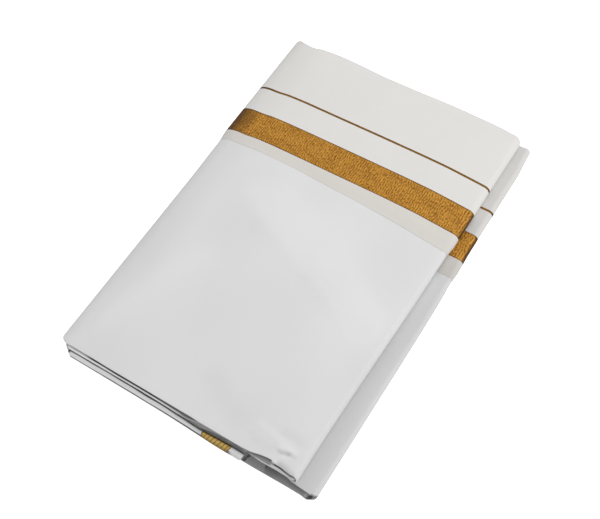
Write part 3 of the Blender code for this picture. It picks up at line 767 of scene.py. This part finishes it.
class DHOTI_OT_plies(bpy.types.Operator):
    """Inner plies: loops of cloth nested inside the panel, with rounded near and far folds"""

    bl_idname = "dhoti.plies"
    bl_label = "Inner plies"

    def execute(self, context):
        stretch, place = stations(PLY_COUNTS)
        x = across(stretch, place, -HALF_LENGTH)
        upper = (stretch == 2) | ((stretch == 3) & (place < 0.5))
        opens, full = (TURN_START - lead for lead in TURN_LEAD)
        outer = ((stretch >= 1) & (stretch <= 5)) * 1.0
        base = NEAR_BASE + curve(NEAR_RECESS, x) + PLY_INNER_BACK * (1 - outer)
        base = base + sum(corner(start - x, radius) for start, radius in LAYERS_LEFT)
        advance = curve(PLY_ADVANCE, x) * outer - upper * ease(opens, full, x) * TURN_POCKET
        for name, shallow, deep, reach, inset in PLIES:
            lip = reach > 0.001
            half = (deep - shallow) / 2
            near = base - reach * outer - advance * lip
            far = far_edge(stretch, place) - inset
            rounding = half * (1 - np.cos(np.radians((0, 20, 40, 65, 90))))
            start, end = near + 1.3 * half, far - 1.3 * half
            flat_rows = start + (end - start) * np.linspace(0.0, 1.0, PLY_ROWS)
            y = np.concatenate((near + rounding, flat_rows, far - rounding[::-1]), axis=1)
            scale = self.scale(stretch, place, y, shallow)
            share = nose(y - near, half) * nose(far - y, half)
            middle = shallow + half * scale
            face = wrapped(stretch, place, y, half * scale * share - middle)
            back = wrapped(stretch, place, y, -half * scale * share - middle)
            uv = cloth_uv(stretch, place, y)
            hollow = self.shade(x, upper, np.minimum(y - near, far - y), half, lip)
            piece = shell(name, face, back, uv, "white cotton inside", hollow=hollow)
            nodes = ["hidden_layers"] if lip else []
            rest(piece, nodes)
        return {"FINISHED"}

    def scale(self, stretch, place, y, shallow):
        """How much thinner the ply is where the flap takes its room from the book."""
        under, lower_top, upper_under = levels(y)
        upper = ((COVER_TOP - upper_under) / 2 - shallow) / (BOOK / 2 - shallow)
        lower = ((lower_top - under) / 2 - shallow) / (BOOK / 2 - shallow)
        return np.choose(stretch, [upper, upper, upper, upper + (lower - upper) * place,
                                   lower, lower, lower, lower + (upper - lower) * place])

    def shade(self, x, upper, inward, half, lip):
        """How deep a ply lies in shade, outside and inside: all of it, but for the lip that
        shows along the upper book's near fold."""
        deep = np.where(upper, 1.0 - 0.16 * ease(-0.0300, -0.0120, x), 0.30 * (x > PAINTED_SHADE_FROM))
        if not lip:
            return deep, deep
        lead = 0.0007 + 0.0005 * (1 - ease(-0.090, -0.050, x)) - 0.0005 * ease(-0.0010, 0.0080, x)
        lead = lead + 0.0040 * (1 - ease(-0.1150, -0.1120, x))
        lead = lead + 0.0002 * (1 - ease(-0.1000, -0.0900, x))
        dim = 0.42 * ease(-0.0250, 0.0200, x) + 0.16 * np.exp(-((x - 0.009) / 0.007) ** 2)
        inner = 0.52 + 0.48 * (1 - ease(-0.1130, -0.1080, x)) + 0.25 * ease(-0.0500, -0.0300, x)
        return (np.maximum(dim * upper, deep * ease(0.0, 0.0003, inward - lead)),
                np.maximum(dim * upper, inner * deep * ease(0.05, 0.35, inward / half)))


FLAP_COUNTS = (12, 16, 90, 26, 48, 16, 24, 14)
FAR_ROWS, FAR_FLAT = 30, 0.012   # rows to the far fold, and how far before it the relief ends
FAR_TUCK = 0.00055       # how far the far fold's turn is centred inside the panel's face


def flap_piece(name, node, low, high, rows, look):
    """A stretch of the flap between two border lines: even rows from one line to the other. Its
    height over the panel rises from its free edge to the full room."""
    sizes = bpy.context.scene.dhoti_sizes
    path = stations(FLAP_COUNTS)
    offset = border_offset(*path)
    edge = curve(FLAP_EDGE, across(*path, BAND_LOW)) + offset
    start = edge if low is None else low + offset
    share = np.linspace(0, 1, rows)[None, :]
    y = start + (high + offset - start) * share
    x = across(*path, y)
    rise = ease(0.0, sizes.flap_ramp, y - edge)
    rise = sizes.flap_edge_rise + (RISE - sizes.flap_edge_rise) * rise
    rise = rise + relief(*path, x, y) * sizes.relief_share
    face = wrapped(*path, y, rise)
    back = wrapped(*path, y, rise - sizes.flap_wall)
    uv = cloth_uv(*path, y)
    piece = shell(name, face, back, uv, look, share=share, bend=border_painted_shade(*path),
                  hollow=lower_shade(*path, x, y))
    return rest(piece, [node])


def border_painted_shade(stretch, place):
    """Painted shade on the gold: full round the folds' outer side, and over the spine."""
    upper_fold = 1 - ease(0.62, 0.76, place)
    lower_fold = 1 - ease(0.66, 0.84, place)
    spine = 0.45 + 0.55 * ease(0.0, 0.30, place)
    top = ease(0.965, 1.0, place) * 0.45
    return 0.9 * np.choose(stretch, [0.0, upper_fold, top, spine, 0.0, lower_fold, 0.0, 0.0])


class DHOTI_OT_flap(bpy.types.Operator):
    """Turned-back border: margin, gold band, plain cloth, gold line and the far fold"""

    bl_idname = "dhoti.flap"
    bl_label = "Border flap"

    def execute(self, context):
        flap_piece("selvedge_cloth", "flap_selvedge", None, BAND_LOW, 14, "selvedge cotton")
        flap_piece("zari_band_cloth", "flap_zari_band", BAND_LOW, BAND_HIGH, 30, "gold zari")
        line = flap_piece("zari_line_cloth", "flap_zari_line", LINE_LOW, LINE_HIGH, 4,
                          "dark gold zari")
        flap_piece("flap_plain_cloth", "flap_plain", BAND_HIGH, LINE_LOW, 18, "flap cotton")
        self.far_fold(context.scene.dhoti_sizes)
        return {"FINISHED"}

    def far_fold(self, sizes):
        """The last stretch runs flat to the far edge, turns half a circle round the panel's
        end and goes back inside under it."""
        path = stations(FLAP_COUNTS)
        start = LINE_HIGH + border_offset(*path)
        radius = RISE + FAR_TUCK
        flat_end = far_edge(*path) - radius
        share = np.linspace(0, 1, FAR_ROWS)
        angles = np.radians((12, 25, 40, 55, 72, 90, 108, 125, 140, 155, 168, 180))
        back_in = np.array((0.0010, 0.0025, 0.0045, 0.0070))

        def section(bend):
            """Y and height over the panel of the side that turns with this radius."""
            y = np.concatenate((start + (flat_end - start) * share,
                                flat_end + bend * np.sin(angles), flat_end - back_in), axis=1)
            turns = np.concatenate((0 * share + 1, np.cos(angles), 0 * back_in - 1))
            return y, bend * turns - FAR_TUCK

        y, out = section(radius)
        y_back, out_back = section(radius - sizes.flap_wall)
        x = across(*path, y)
        pressed = relief(*path, x, y) * sizes.relief_share
        pressed = pressed * ease(0.0, FAR_FLAT, flat_end - y)
        face = wrapped(*path, y, pressed + out)
        back = wrapped(*path, y_back, pressed + out_back)
        uv = cloth_uv(*path, y)
        uv[..., 1] = y[:, :1] + path_length(y.T, out[:, None]).T
        piece = shell("flap_fold_cloth", face, back, uv, "flap cotton",
                      hollow=lower_shade(*path, x, y))
        rest(piece, ["flap_fold"])


def strip_section(foot, head, top, wall):
    """Centre line of the turned-up end as Y and Z over a row of steps: round the foot, up the
    leaning and slightly bowed front, and over a small round at the top to the back."""
    foot_turn = np.radians((-90, -60, -30))
    up = np.linspace(0.06, 0.93, 16)
    top_turn = np.radians((0, 30, 60, 90, 120, 150, 180))
    down = np.array((0.0010, 0.0020, 0.0032))
    low, small = STRIP_FOOT_RADIUS, STRIP_HEAD_RADIUS
    base, crown = wall * 0.6 + 0 * foot, top - small
    y = np.concatenate((
        foot + 2 * low, foot + low - low * np.cos(foot_turn),
        foot + (head - foot) * up - STRIP_BOW * np.sin(np.pi * up),
        head + small - small * np.cos(top_turn), head + 2 * small + 0 * down), axis=1)
    z = np.concatenate((base, base + low + low * np.sin(foot_turn), top * up,
                        crown + small * np.sin(top_turn), crown - down), axis=1)
    return y, z


def strip_piece(name, node, start, end, look):
    """A run of the turned-up end: its section carried along X, half a wall to either side of the
    centre line along its normal. Its foot, its tucked edge, its start and the stretch before the
    gold get painted shade, and where it is gold both ends of the run are darkened."""
    wall = bpy.context.scene.dhoti_sizes.strip_wall
    steps = max(8, int((end - start) / STRIP_STEP))
    x = np.linspace(start, end, steps + 1)[:, None]
    top, head = curve(STRIP_TOP, x), curve(STRIP_HEAD, x)
    y, z = strip_section(curve(STRIP_FOOT, x), head, top, wall)
    tangent_y, tangent_z = np.gradient(y, axis=1), np.gradient(z, axis=1)
    half = wall / 2 / np.hypot(tangent_y, tangent_z)
    # painted shade where the strip's top tucks in behind its head
    tucked = 0.85 * ease(0.0004, 0.0009, y - head) * (z > 0.004)
    y = y + strip_wave(x, z)
    x = x + curve(STRIP_SKEW, x) * (z / top - 0.5)
    face = grid(x, y - half * tangent_z, z + half * tangent_y)
    back = grid(x, y + half * tangent_z, z - half * tangent_y)
    along = path_length(y.T, z.T).T
    share = z / curve(STRIP_TOP, x)
    # painted shade on the foot, the start and the stretch before the gold
    low = 0.95 * (1 - ease(0.0050, 0.0060, along)) * (1 - 0.9 * ease(0.0480, 0.0530, x))
    start_mark = 0.95 * ease(0.84, 0.92, share) * (1 - ease(-0.1140, -0.1125, x))
    before_gold = 0.14 * ease(0.0120, 0.0220, x) * (x < 0.046)
    ends = np.minimum(x - x[:1], x[-1:] - x)
    piece = shell(name, face, back, grid(x, along), look, closed=False, share=share,
                  bend=np.maximum(0.8 * (1 - ease(0.0004, 0.0010, ends)), tucked),
                  hollow=np.maximum.reduce((low, start_mark, tucked, before_gold)))
    return rest(piece, [node])


def strip_wave(x, z):
    """Soft waves of the strip in Y: a long and a short sine along X that grow with height, and
    one shallow crease along its middle."""
    high = np.clip(z / 0.012, 0.0, 1.0)
    sway = 0.00022 * np.sin(2 * np.pi * x / 0.071 + 1.0) + 0.00012 * np.sin(2 * np.pi * x / 0.027)
    crease = 0.00022 * np.exp(-((z - 0.0062) / 0.0010) ** 2)
    return sway * high + crease


class DHOTI_OT_strip(bpy.types.Operator):
    """Turned-up end along the near side: plain cloth, a short gold segment and a margin"""

    bl_idname = "dhoti.strip"
    bl_label = "Turned-up end"

    def execute(self, context):
        strip_piece("end_strip_cloth", "end_strip", STRIP_START, END_BAND_START, "end cotton")
        strip_piece("end_band_cloth", "end_zari_band", END_BAND_START, END_BAND_END,
                    "gold zari with bars")
        strip_piece("end_margin_cloth", "end_margin", END_BAND_END, STRIP_END, "end cotton")
        return {"FINISHED"}


class DHOTI_OT_turn(bpy.types.Operator):
    """Thin turn of cloth under the panel's raised near fold"""

    bl_idname = "dhoti.turn"
    bl_label = "Thin turn"

    def execute(self, context):
        x = np.linspace(TURN_START, TURN_END, 40)[:, None]
        front = curve(TURN_FRONT, x)
        half = TURN_WALL / 2
        rounding = half * (1 - np.cos(np.radians((0, 25, 50, 75, 90))))
        y = np.concatenate((front + rounding,
                            front + (TURN_BACK - front) * np.linspace(0.06, 1.0, 34)), axis=1)
        inward = y - front
        lift = TURN_LIFT * np.sin(2 * np.pi * x / TURN_LIFT_LENGTH)
        middle = TURN_TOP - half + lift * (1 - ease(0.0, TURN_LIFT_REACH, inward))
        thick = half * nose(inward, half)
        piece = shell("under_turn_cloth", grid(x, y, middle + thick), grid(x, y, middle - thick),
                      grid(x, y), "white cotton", closed=False,
                      hollow=(self.shade(x, y, inward), ease(0.0, 0.0003, inward)))
        rest(piece, ["under_turn"])
        return {"FINISHED"}

    def shade(self, x, y, inward):
        """How deep the turn lies in shade: behind its front where it stands open, under the
        panel's near fold, and all of it at its left end; less at one light gap."""
        under_edge = ease(-0.0014, -0.0008, y - curve(NEAR_TOP, x))
        open_side = 1 - ease(0.0875, 0.0910, x)
        under = 0.60 + 0.40 * (1 - open_side) - 0.3 * ease(0.0980, 0.1060, x)
        deep = np.maximum(0.75 * open_side * ease(0.0004, 0.0010, inward), under * under_edge)
        deep = np.maximum(deep, 0.64 * (1 - ease(0.0730, 0.0800, x)))
        return np.maximum(0.32, deep) * (1 - mark("light gap", x, y))


LOOKED_AT = Vector((0.0017, -0.0108, 0.0))
FLOOR_HALF, FLOOR_DROP, FLOOR_GLOW = 4.0, 0.0002, 0.75
WORLD_LIGHT = 0.60
# soft lights: setting of the power, side of the square, place
LIGHTS = (("key", 0.9, (0.60, 0.55, 1.10)), ("fill", 1.4, (0.15, -0.05, 1.50)))


class DHOTI_OT_stage(bpy.types.Operator):
    """Pale floor, soft light and the camera"""

    bl_idname = "dhoti.stage"
    bl_label = "Stage"

    def execute(self, context):
        scene = context.scene
        stage = scene.dhoti_stage
        self.floor()
        self.world(scene)
        for name, size, place in LIGHTS:
            self.light(name, getattr(stage, name), size, place)
        self.camera(scene, stage)
        scene.view_settings.view_transform = "Standard"
        scene.view_settings.look = "None"
        return {"FINISHED"}

    def floor(self):
        mesh = bpy.data.meshes.new("floor")
        signs = ((-1, -1), (1, -1), (1, 1), (-1, 1))
        mesh.from_pydata([(FLOOR_HALF * x, FLOOR_HALF * y, 0) for x, y in signs], [],
                         [(0, 1, 2, 3)])
        nodes = Nodes("floor")
        seen = nodes.add("ShaderNodeLightPath").outputs["Is Camera Ray"]
        nodes.settle(nodes.shader, Base_Color=tone("floor"), Roughness=0.9,
                     Emission_Color=(1.0, 1.0, 1.0, 1.0),
                     Emission_Strength=nodes.maths("MULTIPLY", seen, FLOOR_GLOW))
        mesh.materials.append(nodes.material)
        thing = place_in_scene("floor", mesh)
        thing.location.z = -FLOOR_DROP

    def world(self, scene):
        """White to the camera, and dimmer as a light."""
        world = bpy.data.worlds.new("studio")
        world.use_nodes = True
        nodes, links = world.node_tree.nodes, world.node_tree.links
        background = nodes["Background"]
        background.inputs["Color"].default_value = (1.0, 1.0, 1.0, 1.0)
        strength = nodes.new("ShaderNodeMapRange")
        strength.inputs["To Min"].default_value = WORLD_LIGHT
        seen = nodes.new("ShaderNodeLightPath").outputs["Is Camera Ray"]
        links.new(seen, strength.inputs["Value"])
        links.new(strength.outputs[0], background.inputs["Strength"])
        scene.world = world

    def light(self, name, power, size, place):
        data = bpy.data.lights.new(name, "AREA")
        data.size = size
        data.energy = power
        thing = place_in_scene(name, data)
        thing.location = place
        thing.rotation_mode = "QUATERNION"
        thing.rotation_quaternion = (-Vector(place)).to_track_quat("-Z", "Y")

    def camera(self, scene, stage):
        azimuth, elevation = stage.azimuth, stage.elevation
        back = Vector((np.sin(azimuth) * np.cos(elevation), -np.cos(azimuth) * np.cos(elevation),
                       np.sin(elevation)))
        right = Vector((0, 0, 1)).cross(back).normalized()
        up = back.cross(right)
        c, s = np.cos(stage.roll), np.sin(stage.roll)
        axes = (right * c + up * s, up * c - right * s, back)
        data = bpy.data.cameras.new("camera")
        data.lens = stage.lens
        data.sensor_width = 36.0
        thing = place_in_scene("camera", data)
        thing.matrix_world = Matrix(axes).transposed().to_4x4()
        thing.location = LOOKED_AT + back * stage.distance
        scene.camera = thing


SETTINGS = {"dhoti_sizes": DhotiSizes, "dhoti_colours": DhotiColours, "dhoti_stage": DhotiStage}
OPERATORS = (DHOTI_OT_panel, DHOTI_OT_plies, DHOTI_OT_flap, DHOTI_OT_turn, DHOTI_OT_strip,
             DHOTI_OT_stage)


class DHOTI_PT_sidebar(bpy.types.Panel):
    """Lists the dhoti's pieces and settings"""

    bl_idname = "DHOTI_PT_sidebar"
    bl_label = "Folded dhoti"
    bl_space_type = "VIEW_3D"
    bl_region_type = "UI"
    bl_category = "Dhoti"

    def draw(self, context):
        for operator in OPERATORS:
            self.layout.operator(operator.bl_idname)
        for name, kind in SETTINGS.items():
            box = self.layout.box()
            for key in kind.__annotations__:
                box.prop(getattr(context.scene, name), key)


CLASSES = (*SETTINGS.values(), *OPERATORS, DHOTI_PT_sidebar)


def register():
    for kind in CLASSES:
        bpy.utils.register_class(kind)
    for name, kind in SETTINGS.items():
        setattr(bpy.types.Scene, name, bpy.props.PointerProperty(type=kind))


def unregister():
    for name in SETTINGS:
        delattr(bpy.types.Scene, name)
    for kind in reversed(CLASSES):
        bpy.utils.unregister_class(kind)


def main():
    register()
    bpy.ops.dhoti.panel()
    bpy.ops.dhoti.plies()
    bpy.ops.dhoti.flap()
    bpy.ops.dhoti.turn()
    bpy.ops.dhoti.strip()
    bpy.ops.dhoti.stage()


if __name__ == "__main__":
    main()
